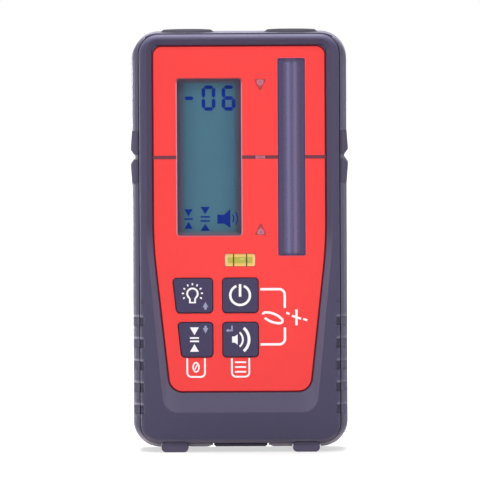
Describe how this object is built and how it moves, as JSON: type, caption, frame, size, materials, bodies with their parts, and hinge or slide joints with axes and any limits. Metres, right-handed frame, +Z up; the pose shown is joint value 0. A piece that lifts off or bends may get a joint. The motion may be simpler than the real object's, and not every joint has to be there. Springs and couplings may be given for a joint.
{
  "type": "laser receiver",
  "caption": "Hand-held laser receiver with display, tall sensor window, level vial, sprung keys, hinged battery door, magnets on top and a threaded mount on the back.",
  "frame": {"origin": "centre of the overall box in plan, on the plane that the feet stand on", "axes": "+Z up, +X to the user's right when facing the panel, +Y towards the back, so the panel faces -Y"},
  "size_m": [0.077, 0.03, 0.1493],
  "materials": {
    "shell_plastic": "satin moulded plastic",
    "panel_red": "printed plastic plate",
    "clear_lens": "clear polished",
    "lcd": "satin glass",
    "light_plastic": "light moulded plastic",
    "filter_plastic": "dark polished filter",
    "vial_acrylic": "clear tinted acrylic",
    "key_plastic": "matt key",
    "mark_plastic": "translucent mark",
    "seal_rubber": "soft rubber",
    "marker_rubber": "moulded-on rubber",
    "foot_rubber": "moulded rubber",
    "cap_plastic": "satin cap",
    "magnet": "nickel plated",
    "board": "lacquered board",
    "chip_plastic": "moulded package",
    "contact_steel": "nickel plated spring steel",
    "screw_steel": "zinc plated",
    "cell_can": "plain sleeved can",
    "brass": "turned brass"
  },
  "bodies": {
    "housing": {"front_shell": "shell_plastic", "rear_shell": "shell_plastic", "shell_seal": "seal_rubber", "fascia_panel": "panel_red", "display_lens": "clear_lens", "lcd_glass": "lcd", "lcd_frame": "light_plastic", "lcd_backlight": "light_plastic", "contact_strips": "seal_rubber", "sensor_window": "filter_plastic", "photodiode_array": "chip_plastic", "vial_body": "vial_acrylic", "vial_fluid": "vial_acrylic", "vial_plug": "vial_acrylic", "key_mat": "seal_rubber", "dome_switches": "contact_steel", "main_board": "board", "controller_chip": "chip_plastic", "capacitors": "cell_can", "board_screws": "screw_steel", "indicator_leds": "light_plastic", "light_pipe_upper": "mark_plastic", "light_pipe_centre": "mark_plastic", "light_pipe_lower": "mark_plastic", "buzzer": "chip_plastic", "buzzer_seal": "seal_rubber", "buzzer_pins": "brass", "cell_left": "cell_can", "cell_right": "cell_can", "contact_bridge": "contact_steel", "contact_positive": "contact_steel", "contact_negative": "contact_steel", "door_seal": "seal_rubber", "door_pin": "screw_steel", "case_screws": "screw_steel", "marker_left": "marker_rubber", "marker_right": "marker_rubber", "foot_left": "foot_rubber", "foot_right": "foot_rubber", "magnet_left": "magnet", "magnet_right": "magnet", "magnet_cap_left": "cap_plastic", "magnet_cap_right": "cap_plastic", "mount_insert": "brass"},
    "light_button": {"light_key": "key_plastic"},
    "power_button": {"power_key": "key_plastic"},
    "precision_button": {"precision_key": "key_plastic"},
    "volume_button": {"volume_key": "key_plastic"},
    "door": {"battery_door": "shell_plastic"}
  },
  "joints": [
    {"name": "light_press", "type": "slide", "parent": "housing", "child": "light_button", "axis": [0, 1, 0], "range_m": [0, 0.0007], "stiffness_N_per_m": 1200},
    {"name": "power_press", "type": "slide", "parent": "housing", "child": "power_button", "axis": [0, 1, 0], "range_m": [0, 0.0007], "stiffness_N_per_m": 1200},
    {"name": "precision_press", "type": "slide", "parent": "housing", "child": "precision_button", "axis": [0, 1, 0], "range_m": [0, 0.0007], "stiffness_N_per_m": 1200},
    {"name": "volume_press", "type": "slide", "parent": "housing", "child": "volume_button", "axis": [0, 1, 0], "range_m": [0, 0.0007], "stiffness_N_per_m": 1200},
    {"name": "door_hinge", "type": "hinge", "parent": "housing", "child": "door", "pos_m": [0, 0.0126, 0.0699], "axis": [1, 0, 0], "range_deg": [0, 110]}
  ]
}
